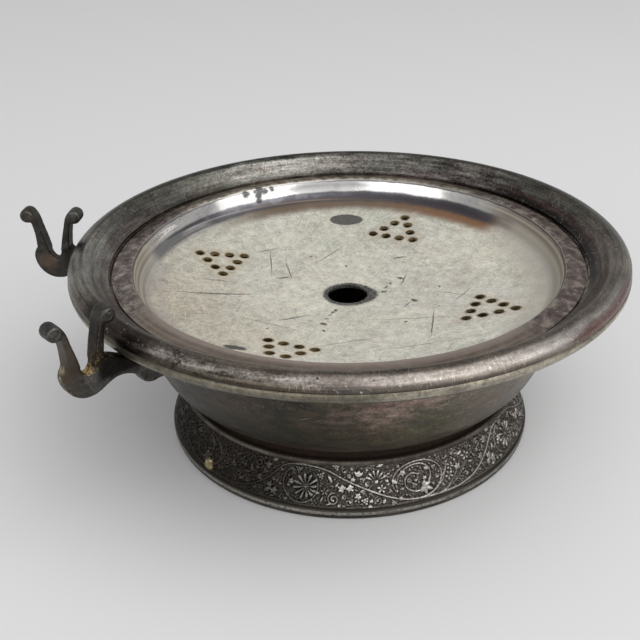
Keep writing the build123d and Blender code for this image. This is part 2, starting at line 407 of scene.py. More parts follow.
def drain_holes_mask(s, inner, outer):
    """1 from inner to outer millimetres off the drain holes' centres."""
    quarter = pi / 2
    start = radians(DRAIN_GROUP_FIRST_ANGLE) - quarter / 2
    folded = s.math("FLOORED_MODULO", s.math("SUBTRACT", s.angle, start), quarter)
    folded = s.math("SUBTRACT", folded, quarter / 2)
    across = s.times(s.radius, s.math("SINE", folded))
    along = s.math("SUBTRACT", s.times(s.radius, s.math("COSINE", folded)), DRAIN_GROUP_RADIUS)
    # the triangle has three equal sides, each with holes at a corner and at thirds
    third = 2 * pi / 3
    spin = s.math("FLOORED_MODULO", s.math("ARCTAN2", across, along), third)
    spin = s.math("SUBTRACT", spin, third / 2)
    reach = s.vector("LENGTH", s.join(along, across, 0))
    out = s.times(reach, s.math("COSINE", spin))
    side = s.math("ABSOLUTE", s.times(reach, s.math("SINE", spin)))
    row = DRAIN_GROUP_SIDE / (2 * 3 ** 0.5)
    nearest = None
    for step in (DRAIN_GROUP_SIDE / 6, DRAIN_GROUP_SIDE / 2):
        offset = s.join(s.math("SUBTRACT", out, row), s.math("SUBTRACT", side, step), 0)
        gap = s.vector("LENGTH", offset)
        nearest = gap if nearest is None else s.math("MINIMUM", nearest, gap)
    return s.between(nearest, 0, (inner + outer) / 2, (outer - inner) / 2)


def drainer_material():
    s = Surface("drainer_plate_metal")
    broad = s.noise(30, 3)
    patch = s.noise(8, 4, 0.6)
    fine = s.noise(0.8, 4, 0.65)

    # floor: dull cream-grey silver
    s.colour = s.mix(s.fade(broad, 0.38, 0.62), CREAM, (0.73, 0.705, 0.615))
    s.lay(s.fade(patch, 0.5, 0.68), 0.65, (0.64, 0.55, 0.46))
    s.lay(s.fade(s.noise(20, 3), 0.52, 0.68), 0.6, (0.64, 0.65, 0.53))
    warm = s.fade(s.x, -18, -58)
    s.lay(warm, 0.8, (0.57, 0.49, 0.37))
    s.lay(s.fade(s.y, 4, 44), 0.5, (0.6, 0.6, 0.5))
    s.lay(s.fade(s.y, -20, -48), 0.5, (0.88, 0.86, 0.76))
    s.gain(s.swing(s.noise(3.2, 4, 0.72), 1.5), s.swing(fine, 1.1))
    pale = s.scratches((7, 31, 58, 83, 112, 139, 163), 11, 0.38, 0.6, 0.68)
    dark = s.scratches((20, 47, 74, 98, 127, 152), 9, 0.32, 0.65, 0.72)
    s.lay(pale, 0.5, (0.94, 0.93, 0.85))
    s.lay(dark, s.fade(s.noise(24, 2), 0.33, 0.58), 0.38, (0.26, 0.22, 0.16))
    s.lay(s.fade(s.noise(2, 3, 0.6), 0.62, 0.74), 0.45, (0.4, 0.32, 0.22))
    s.lay(s.fade(s.noise(0.9, 2, 0.5), 0.7, 0.76), 0.8, (0.16, 0.11, 0.06))

    # wall: still polished on the far side, dull cream and streaked elsewhere
    floor = s.colour
    polished = s.sector(32, 138, 20)
    streak = turned_streaks(s, 1.3)
    s.colour = s.mix(s.fade(streak, 0.38, 0.6), (0.5, 0.455, 0.375), (0.28, 0.25, 0.222))
    s.lay(polished, s.mix(s.fade(patch, 0.42, 0.7), (0.74, 0.73, 0.71), (0.56, 0.55, 0.555)))
    # painted shade: a greyer patch high in the middle of the far wall's bright reflection
    s.lay(s.sector(66, 86, 9), s.fade(s.z, 58.6, 60), 0.6, (0.42, 0.415, 0.41))
    s.colour = s.mix(s.fade(s.z, 53.6, 56), floor, s.colour)

    # painted shade, grey-mauve, where the floor turns up; brown-orange stain along the far side; a
    # painted dark reflection, blue-grey, low on the wall; paler cream low on the right wall
    foot_line = s.between(s.radius, 64.5, 67, 4)
    s.lay(foot_line, s.fade(s.noise(18, 2), 0.3, 0.62), 0.45, (0.36, 0.33, 0.34))
    far_side = s.sector(20, 118, 9)
    right_end = s.fade(s.angle, radians(66), radians(28))
    wander = s.times(s.math("SUBTRACT", s.noise(6, 4, 0.65), 0.5), 4)
    edge = s.math("ADD", s.radius, wander)
    left_end = s.fade(s.angle, radians(128), radians(94))
    stain = s.times(s.fade(edge, 59.5, 65.2), s.fade(edge, 70.2, 68.6), far_side, left_end)
    brown = s.mix(right_end, (0.172, 0.112, 0.07), (0.27, 0.135, 0.06))
    s.lay(stain, s.level(right_end, 0.92, 0.96), brown)
    turn_up = s.between(s.math("ADD", s.z, s.times(wander, 0.25)), 54.8, 57, 1)
    # painted dark reflection, blue-grey, on the turned-up wall
    painted_dark_reflection = s.most(
        s.times(far_side, s.fade(streak, 0.3, 0.48)),
        s.times(s.sector(122, 138, 8), s.fade(streak, 0.36, 0.6)),
        s.times(s.sector(134, 147, 6), 0.7),
        s.times(s.sector(-42, 14, 9), s.fade(streak, 0.34, 0.52), 0.22),
    )
    s.lay(turn_up, painted_dark_reflection, s.level(right_end, 0.86, 0.92), (0.062, 0.063, 0.078))
    s.lay(s.sector(-56, 6, 6), s.between(s.z, 53, 57.4, 1.6), 0.5, (0.6, 0.555, 0.465))

    # flange: pinkish mottled tarnish outside the fine line at the cove's lip, paler behind
    dish = s.colour
    mottle = s.noise(3.2, 4, 0.68)
    s.colour = s.mix(s.fade(mottle, 0.38, 0.64), (0.115, 0.082, 0.076), (0.205, 0.17, 0.15))
    crusted = s.times(s.fade(s.noise(4, 5, 0.78), 0.5, 0.6), s.fade(s.y, -42, -12))
    s.lay(crusted, 0.75, (0.4, 0.375, 0.32))
    s.lay(s.sector(36, 122, 16), 0.8,
          s.mix(s.fade(mottle, 0.36, 0.62), (0.28, 0.225, 0.175), (0.5, 0.455, 0.385)))
    s.lay(s.fade(s.x, 40, 66), s.fade(s.y, 30, 10), 0.5, (0.115, 0.08, 0.07))
    s.gain(s.swing(mottle, 2.4), s.swing(fine, 1.8))
    s.lay(s.fade(s.noise(1.2, 2), 0.67, 0.73), 0.9, (0.04, 0.028, 0.028))
    at_right = s.times(s.sector(-62, 24, 10), s.fade(mottle, 0.49, 0.6))
    s.lay(at_right, 0.6, (0.33, 0.275, 0.24))
    in_front = s.sector(-160, -72, 12)
    s.lay(in_front, 0.75,
          s.mix(s.fade(streak, 0.36, 0.64), (0.148, 0.115, 0.092), (0.28, 0.228, 0.185)))
    lip = s.stray(s.radius, s.noise(5, 3), 0.8)
    s.lay(in_front, s.fade(lip, 75.6, 73), 0.6, (0.4, 0.335, 0.295))
    outside = s.fade(lip, 71.7, 72.2)
    s.colour = s.mix(outside, dish, s.colour)
    groove = s.times(s.between(lip, 71.5, 71.7, 0.2), s.fade(s.z, 60, 61.2))
    s.lay(groove, s.level(polished, 0.85, 0.6), (0.06, 0.05, 0.046))

    # blister marks high on the bright far wall, left of the middle
    blister = None
    for x, y, z, size in ((-17, 68.6, 61, 1.625), (-11, 69.8, 61.2, 2), (-8.9, 69.9, 60.6, 1.5),
                          (-6, 70.4, 61.2, 1.375), (-12, 68.8, 57.6, 1.375), (-11.6, 69.2, 59.3, 1.625),
                          (-13, 69.3, 61.1, 1.125), (-46.2, 53.4, 60.6, 0.625), (29, 64.4, 61.3, 0.625)):
        mark = s.spot(x, y, size, size, 15, RAGGED, 0.3, z)
        blister = mark if blister is None else s.most(blister, mark)
    s.lay(blister, 0.9, s.mix(fine, (0.01, 0.01, 0.01), (0.05, 0.05, 0.047)))

    # bare grey oval, and the ring worn round the finger hole
    oval = s.spot(18.3, 51.2, 6.5, 3.7, -21, WAVY, 0.06)
    s.lay(oval, s.mix(s.fade(fine, 0.35, 0.65), (0.115, 0.112, 0.105), (0.165, 0.16, 0.15)))
    ring = s.most(s.spot(0.2, -0.2, 8.7, 8.7, 0, RAGGED, 0.07),
                  s.spot(1.9, -1, 8.2, 7.4, -25, RAGGED, 0.1))
    s.lay(ring, s.mix(s.fade(fine, 0.44, 0.58), (0.05, 0.048, 0.045), (0.185, 0.18, 0.168)))
    smudge = s.spot(-47.8, -31.8, 3.8, 1.6, -30, RAGGED, 0.22)
    s.lay(smudge, 0.92, (0.05, 0.046, 0.048))

    # specks, dashes and long scratches left by knives
    marks = None
    for x, y, size in ((-7.9, -10.3, 0.8), (-11, -13, 0.6), (-13, -15.6, 0.5), (-15.4, -18.9, 1),
                       (-17, -24.3, 0.7), (-9.4, -11.6, 0.6), (18.8, -14.1, 1), (21.3, 3.5, 0.9),
                       (14.2, -0.3, 0.7), (12.1, -3.3, 0.7), (6.8, 20, 0.6), (-3, 31, 0.5),
                       (30.5, -9, 0.5), (9.5, -28, 0.5), (16.5, 1.6, 0.5), (-34, -18, 0.5)):
        mark = s.spot(x, y, size * 1.3, size * 0.75, 15 * x, RAGGED, 0.3)
        marks = mark if marks is None else s.most(marks, mark)
    cuts = (
        ((-55.4, 11.5), (-31.8, 8.5), 0.8), ((-28.3, -12.7), (-18.9, -11.3), 0.7),
        ((-16.8, 37.5), (-20.4, 23.4), 0.35), ((-13.2, 29.9), (-14.8, 17.4), 0.35),
        ((-21.9, 38.4), (-12.9, 39.4), 0.4), ((-21.3, -35.3), (-1.9, -35.1), 0.35),
        ((21.3, -24.7), (12.3, -41.7), 0.4), ((13.5, -17.3), (17.7, -14.3), 0.4),
        ((-19.6, 18.2), (-15.2, 18.4), 0.8), ((24.5, 18.2), (29, 17.4), 0.8),
        ((-45, 21), (-38, 19), 0.45), ((28, -12), (36, -21), 0.3),
        ((2, -22), (20, -30), 0.3), ((-40, -8), (-26, -20), 0.3),
        ((24, 5), (19.5, -1), 0.5), ((-2, 26), (9, 33), 0.3),
        ((30, -22), (39, -16), 0.3), ((-6, -45), (22, -50), 0.3),
    )
    for start, end, width in cuts:
        marks = s.most(marks, s.line(start, end, width))
    s.lay(marks, 0.88, (0.055, 0.045, 0.035))

    # brassy edge and dirt round each drain hole
    chip = s.fade(s.noise(1.4, 3), 0.38, 0.56)
    wide = s.times(drain_holes_mask(s, DRAIN_HOLE_RADIUS + 0.1, DRAIN_HOLE_RADIUS + 0.8), chip)
    near = drain_holes_mask(s, DRAIN_HOLE_RADIUS, DRAIN_HOLE_RADIUS + 0.35)
    warmed = drain_holes_mask(s, 1, 5)
    s.lay(warmed, 0.16, (0.5, 0.36, 0.22))
    grubby = s.mix(s.fade(s.x, 10, 34), BRASS, (0.055, 0.048, 0.03))
    s.lay(wide, 0.6, grubby)
    s.lay(near, 0.9, s.mix(chip, (0.045, 0.034, 0.018), (0.22, 0.15, 0.055)))
    # the bore of each hole, below the plate's face
    face_z = s.math("SUBTRACT", s.z, s.times(s.radius, s.radius, PLATE_DISH))
    bore = s.times(near, s.fade(face_z, PLATE_CENTRE_Z - 0.05, PLATE_CENTRE_Z - 0.25))
    s.lay(bore, s.mix(s.fade(mottle, 0.4, 0.58), (0.46, 0.32, 0.14), (0.085, 0.06, 0.028)))

    dull = s.most(s.fade(s.z, 56, 53.5), s.fade(polished, 1, 0))
    s.put(s.shader.inputs["Metallic"], s.level(dull, 1, 0.6))
    rough = s.level(dull, 0.17, 0.42)
    rough = s.level(outside, rough, 0.38)
    rough = s.level(stain, rough, 0.42)
    rough = s.stray(rough, fine, 0.14)
    s.bump(s.noise(24, 2), 0.25)
    s.bump(s.noise(0.6, 2), 0.014)
    return s.finish(rough)


def collar_material():
    s = Surface("foot_collar_dark")
    s.shader.inputs["Metallic"].default_value = 0.6
    patch = s.noise(8, 4, 0.6)
    fine = s.noise(0.9, 4, 0.65)
    s.colour = s.mix(s.fade(patch, 0.4, 0.64), (0.105, 0.078, 0.06), (0.13, 0.082, 0.068))
    bead = s.fade(s.radius, 56, 57.6)
    s.lay(bead, 0.9, (0.036, 0.028, 0.021))
    # painted highlight: a faint light line along the bead's crest
    crest = s.times(s.between(s.radius, 58.8, 59.2, 0.2), s.fade(s.noise(9, 4, 0.65), 0.44, 0.6))
    s.lay(crest, 0.6, (0.14, 0.122, 0.1))
    s.gain(s.swing(fine, 2))
    s.bump(fine, 0.05)
    return s.finish(s.level(fine, 0.36, 0.56))


def wire_material():
    s = Surface("foot_edge_wire_metal")
    patch = s.noise(9, 4, 0.6)
    fine = s.noise(0.8, 4, 0.7)
    s.colour = s.mix(s.fade(patch, 0.38, 0.62), (0.11, 0.102, 0.086), (0.06, 0.054, 0.045))
    # painted highlight along the wire's crest, broken up by noise
    crest = s.times(s.between(s.z, 2, 2.6, 0.35), s.fade(fine, 0.3, 0.58), s.fade(patch, 0.26, 0.54))
    s.lay(crest, 0.85, (0.42, 0.405, 0.365))
    # painted shade in the groove above the wire, and painted shadow along its bottom by the floor
    s.lay(s.fade(s.z, 2.9, 3.3), (0.032, 0.027, 0.022))
    s.lay(s.fade(s.z, 0.7, 0.2), (0.03, 0.027, 0.022))
    s.bump(fine, 0.06)
    return s.finish(s.level(patch, 0.38, 0.54))


def foot_material():
    s = Surface("foot_relief_patina")
    high = s.attribute("relief")
    hollow = s.attribute("hollow")
    patch = s.noise(14, 4, 0.6)
    fine = s.noise(0.7, 4, 0.7)
    left = s.fade(s.x, -12, -46)
    ground = s.mix(s.fade(patch, 0.42, 0.62), (0.078, 0.071, 0.06), (0.098, 0.08, 0.07))
    worn = s.mix(s.fade(patch, 0.36, 0.62), (0.25, 0.238, 0.212), (0.4, 0.388, 0.36))
    rubbed = s.sector(-132, -104, 10)
    worn = s.mix(s.times(rubbed, 0.85), worn, (0.74, 0.72, 0.67))
    worn = s.mix(s.times(left, 0.85), worn, (0.095, 0.083, 0.06))
    touched = s.stray(high, fine, 0.7)
    s.colour = s.mix(s.fade(touched, 0.38, 0.92), ground, worn)
    # near black in the hollows beside the motifs: dark oxide there, deepened with painted shade
    s.lay(s.fade(hollow, 0.03, 0.36), 0.92, (0.008, 0.006, 0.005))
    s.gain(s.swing(fine, 1.8), s.level(left, 1, 0.38))
    deposit = s.spot(-58, -23.8, 1.9, 1.9, 0, (2, 1), 0.3, 5.5)
    s.lay(deposit, 0.8, (0.42, 0.35, 0.2))
    rough = s.level(s.fade(high, 0.25, 0.9), 0.5, 0.27)
    s.bump(fine, 0.04)
    return s.finish(rough)


def rest_material(name, turn):
    """The castings' own grey metal, rubbed on the edges, with a painted shadow, near black, under the
    rim.
    """
    s = Surface(name)
    s.shader.inputs["Metallic"].default_value = 0.93
    wear = s.attribute("wear")
    patch = s.noise(6, 4, 0.6)
    fine = s.noise(0.6, 4, 0.7)
    along = s.math("ADD", s.times(s.x, cos(turn)), s.times(s.y, sin(turn)))
    s.colour = s.mix(s.fade(patch, 0.4, 0.62), (0.088, 0.087, 0.082), (0.06, 0.052, 0.042))
    s.lay(s.fade(s.noise(9, 3), 0.5, 0.66), 0.7, (0.078, 0.056, 0.041))
    rubbed = s.fade(s.stray(wear, fine, 0.5), 0.8, 1.1)
    s.lay(rubbed, 0.5, (0.24, 0.235, 0.215))
    s.lay(s.fade(s.z, 70.5, 73), 0.42, (0.05, 0.048, 0.042))
    # painted shadow: near black where the rest lies under the rim
    painted_rim_shadow = s.times(s.fade(along, 99.6, 96.8), s.fade(s.z, 53.6, 56), s.fade(s.z, 64.5, 61.5))
    s.lay(painted_rim_shadow, 0.95, (0.009, 0.007, 0.006))
    s.lay(s.fade(wear, 0.34, 0.12), 0.9, (0.022, 0.018, 0.014))
    s.gain(s.swing(fine, 2.2), s.swing(s.noise(2, 3), 1.4))
    s.bump(s.noise(2.6, 3), 0.12)
    s.bump(fine, 0.06)
    return s, s.level(patch, 0.4, 0.58), along


def front_rest_material():
    turn = radians(REST_ANGLES["front_knife_rest"])
    s, rough, along = rest_material("front_knife_rest_casting", turn)

    def near(reach, height, size, ragged):
        return s.spot(reach * cos(turn), reach * sin(turn), size, size, 0, (ragged, 1), 0.4, height)

    brown = s.times(s.fade(along, 101.8, 103.4), s.between(s.z, 60, 71.5, 3))
    s.lay(brown, 0.6, (0.074, 0.054, 0.038))
    wear = s.attribute("wear")
    inner = s.times(s.fade(along, 100, 98.6), s.between(s.z, 62, 72, 2))
    s.lay(inner, s.fade(wear, 1, 0.8), 0.85, (0.02, 0.016, 0.013))
    low = s.fade(s.z, 69, 63)
    rusty = s.times(inner, low, s.fade(s.noise(1.3, 4, 0.7), 0.5, 0.62))
    s.lay(rusty, 0.7, (0.15, 0.078, 0.036))
    crotch = near(99.6, 61.5, 3.4, 1.4)
    s.lay(crotch, 0.8,
          s.mix(s.fade(s.noise(0.9, 3), 0.5, 0.62), (0.022, 0.014, 0.009), (0.2, 0.12, 0.04)))
    deposit = s.times(near(100.9, 59, 2.1, 1.6), s.fade(s.noise(0.9, 3), 0.4, 0.54))
    s.lay(deposit, 0.9, OCHRE)
    chips = s.times(s.most(near(107.3, 61.6, 1.3, 1), near(108.2, 59.4, 0.9, 0.8)),
                    s.fade(s.noise(0.9, 2), 0.4, 0.52))
    s.lay(chips, 0.85, (0.42, 0.36, 0.24))
    s.put(s.shader.inputs["Metallic"], s.level(s.most(deposit, rusty), 0.93, 0.15))
    return s.finish(s.level(rusty, rough, 0.7))


def rear_rest_material():
    turn = radians(REST_ANGLES["rear_knife_rest"])
    s, rough, _ = rest_material("rear_knife_rest_casting", turn)
    dark = s.times(s.fade(s.noise(7, 3), 0.28, 0.5), s.fade(s.z, 74.5, 72))
    s.lay(dark, 0.75, (0.028, 0.027, 0.023))
    brown = s.spot(103.8 * cos(turn), 103.8 * sin(turn), 3.2, 3.2, 0, (2, 1.5), 0.5, 57.5)
    s.lay(brown, 0.75, (0.13, 0.085, 0.06))
    return s.finish(rough)


# ---- Foot relief: one strip of scrolling foliage, repeated five times round ----
REPEATS = 5
COLUMNS_PER_REPEAT = 288
ROWS = 66
STRIP_LENGTH = 76            # one repeat, along the band
STRIP_HEIGHT = 14            # up the band's slope
CELL = 0.1                   # millimetres per cell of the height field
RELIEF_HEIGHT = 0.8
GROUND_SINK = 0.2            # the bare ground lies this far inside the plain band
GROUND_GRAIN = 0.018         # fine unevenness of the bare ground
BORDER_FADE = 0.035          # share of the band's height over which relief dies out at each edge
FIRST_ROUNDEL_ANGLE = -124
BAND_THICKNESS = 1.2


def polar(u, v, reach, angle):
    """The point at a distance from u, v, at an angle in degrees."""
    a = radians(angle)
    return u + reach * cos(a), v + reach * sin(a)


def ellipse(u, v, across, up, first, last):
    """Points every 15 degrees round an ellipse about u, v."""
    return [(u + across * cos(radians(a)), v + up * sin(radians(a))) for a in range(first, last, 15)]


def each(draw, *rows):
    """Draw the same kind of thing once for each row of numbers."""
    for row in rows:
        draw(*row)


class Strip:
    """A height field, 0 to about 1, that repeats end to end. u runs along, v up."""

    def __init__(self):
        self.columns = int(round(STRIP_LENGTH / CELL))
        self.rows = int(round(STRIP_HEIGHT / CELL))
        self.high = np.zeros((self.rows, self.columns))

    def dab(self, u, v, radius, height):
        """One rounded dab, kept where it stands above what is there."""
        cols = np.arange(floor((u - radius) / CELL), ceil((u + radius) / CELL) + 1)
        rows = np.arange(floor((v - radius) / CELL), ceil((v + radius) / CELL) + 1)
        rows = rows[(rows >= 0) & (rows < self.rows)]
        square = ((cols * CELL - u)[None, :] ** 2 + (rows * CELL - v)[:, None] ** 2) / radius ** 2
        dome = height * np.sqrt(np.clip(1 - square, 0, 1))
        where = np.ix_(rows, cols % self.columns)
        self.high[where] = np.maximum(self.high[where], dome)

    def bare_radius(self, u, v, most, level=0.1):
        """Distance from u, v to the nearest relief higher than level, up to most."""
        reach = int(most / CELL)
        cols = np.arange(int(u / CELL) - reach, int(u / CELL) + reach + 1)
        rows = np.arange(int(v / CELL) - reach, int(v / CELL) + reach + 1)
        rows = rows[(rows >= 0) & (rows < self.rows)]
        taken = self.high[np.ix_(rows, cols % self.columns)] > level
        if not taken.any():
            return most
        gap = np.hypot((cols * CELL - u)[None, :], (rows * CELL - v)[:, None])
        return min(float(gap[taken].min()), most)

    def stroke(self, points, widths, height=1):
        """A rounded stroke along a smooth path; widths are radii, spread along it."""
        points = np.array(points, float)
        steps = 12
        path = []
        for i in range(len(points) - 1):
            a = points[max(i - 1, 0)]
            b = points[i]
            c = points[i + 1]
            d = points[min(i + 2, len(points) - 1)]
            for k in range(steps):
                t = k / steps
                path.append(0.5 * (2 * b + (c - a) * t + (2 * a - 5 * b + 4 * c - d) * t ** 2
                                   + (3 * b - a - 3 * c + d) * t ** 3))
        path.append(points[-1])
        path = np.array(path)
        gone = np.concatenate([[0], np.cumsum(np.linalg.norm(np.diff(path, axis=0), axis=1))])
        along = np.linspace(0, gone[-1], max(int(gone[-1] / 0.09), 2))
        us = np.interp(along, gone, path[:, 0])
        vs = np.interp(along, gone, path[:, 1])
        radii = np.interp(along / gone[-1], np.linspace(0, 1, len(widths)), widths)
        for u, v, radius in zip(us, vs, radii):
            if radius > 0.06:
                self.dab(u, v, radius, height * min(1, 0.55 + radius))

    def curl(self, u, v, start, turns, outer, inner, width=0.24, height=0.85, knob=0.5):
        """A spiral that winds in from radius outer to inner; turns may be negative."""
        count = int(abs(turns) * 10) + 4
        points = []
        for k in range(count + 1):
            t = k / count
            angle = radians(start) + 2 * pi * turns * t
            reach = outer + (inner - outer) * t
            points.append((u + reach * cos(angle), v + reach * sin(angle)))
        self.stroke(points, [width, width, width * 1.3], height)
        self.dab(*points[-1], knob, height)

    def leaf(self, u, v, angle, length, width, height=1, bend=0):
        """A pointed leaf from its base at u, v."""
        a = radians(angle)
        points = []
        for t in (0, 0.25, 0.5, 0.75, 1):
            x, y = polar(u, v, length * t, angle)
            off = bend * sin(pi * t)
            points.append((x - off * sin(a), y + off * cos(a)))
        self.stroke(points, [width * 0.35, width * 0.85, width, width * 0.7, width * 0.12], height)

    def petal(self, u, v, angle, near, far, width, height=1):
        """A club-shaped petal, from near to far off the flower's middle."""
        points = [polar(u, v, reach, angle) for reach in np.linspace(near, far, 5)]
        self.stroke(points, [width * 0.4, width * 0.55, width * 0.75, width, width * 0.95], height)

    def sprig(self, u, v, angle, size):
        """A short stem that ends in a fan of three small leaves."""
        tip = polar(u, v, size * 0.55, angle)
        self.stroke([(u, v), tip], [0.16, 0.2], 0.7)
        for spread in (-42, 0, 42):
            self.leaf(*tip, angle + spread, size * 0.62, size * 0.20, 0.95)

    def vine_leaf(self, u, v, angle, size):
        """A five-lobed leaf."""
        for turn, length in ((0, 1), (48, 0.8), (-48, 0.8), (100, 0.55), (-100, 0.55)):
            self.leaf(u, v, angle + turn, size * length, size * 0.26, 1)

    def berries(self, u, v, angle, size):
        """A bunch of small round berries."""
        a = radians(angle)
        for row, count in enumerate((3, 2, 1)):
            x, y = polar(u, v, row * size * 0.8, angle)
            for k in range(count):
                across = (k - (count - 1) / 2) * size
                self.dab(x - across * sin(a), y + across * cos(a), size * 0.52, 0.9)


def fill_gaps(s):
    """Leaves, curls, sprigs and berries where the ground is still bare, large ones first."""
    random = np.random.RandomState(23)
    for smallest, tries in ((1.35, 500), (0.95, 900), (0.65, 1500), (0.42, 2500)):
        for _ in range(tries):
            u = random.uniform(0, STRIP_LENGTH)
            v = random.uniform(1, 13.1)
            turn = random.uniform(0, 360)
            kind = random.randint(0, 6)
            free = s.bare_radius(u, v, 2)
            if free < smallest:
                continue
            base = polar(u, v, -0.7 * free, turn)
            if free < 0.75:
                s.leaf(*base, turn, 1.7 * free, 0.48 * free, 0.9)
            elif kind <= 1:
                s.vine_leaf(*base, turn, 1.35 * free)
            elif kind == 2:
                s.curl(u, v, turn, 1.1 if turn > 180 else -1.1, 0.85 * free, 0.25, 0.24, 0.9, 0.36)
            elif kind == 3:
                s.sprig(*base, turn, 1.8 * free)
            elif kind == 4:
                s.berries(u, v, turn, 0.55 * free)
            else:
                for petal in range(5):
                    s.petal(u, v, turn + 72 * petal, 0.2 * free, 0.8 * free, 0.32 * free, 0.9)


def matted_ground(s):
    """Low knobs all over whatever ground is left, as a punched background has."""
    random = np.random.RandomState(41)
    for _ in range(5200):
        u = random.uniform(0, STRIP_LENGTH)
        v = random.uniform(0.8, 13.3)
        radius = random.uniform(0.18, 0.34)
        height = random.uniform(0.14, 0.36)
        if s.bare_radius(u, v, 0.5, 0.5) > radius * 0.7:
            s.dab(u, v, radius, height)


def nearby_height(field, reach):
    """The field averaged over a square of the given half width, in millimetres."""
    cells = int(reach / CELL)
    out = field
    for axis in (0, 1):
        total = np.zeros_like(out)
        for step in range(-cells, cells + 1):
            moved = np.roll(out, step, axis)
            if axis == 0 and step > 0:
                moved[:step] = out[:1]
            if axis == 0 and step < 0:
                moved[step:] = out[-1:]
            total += moved
        out = total / (2 * cells + 1)
    return out


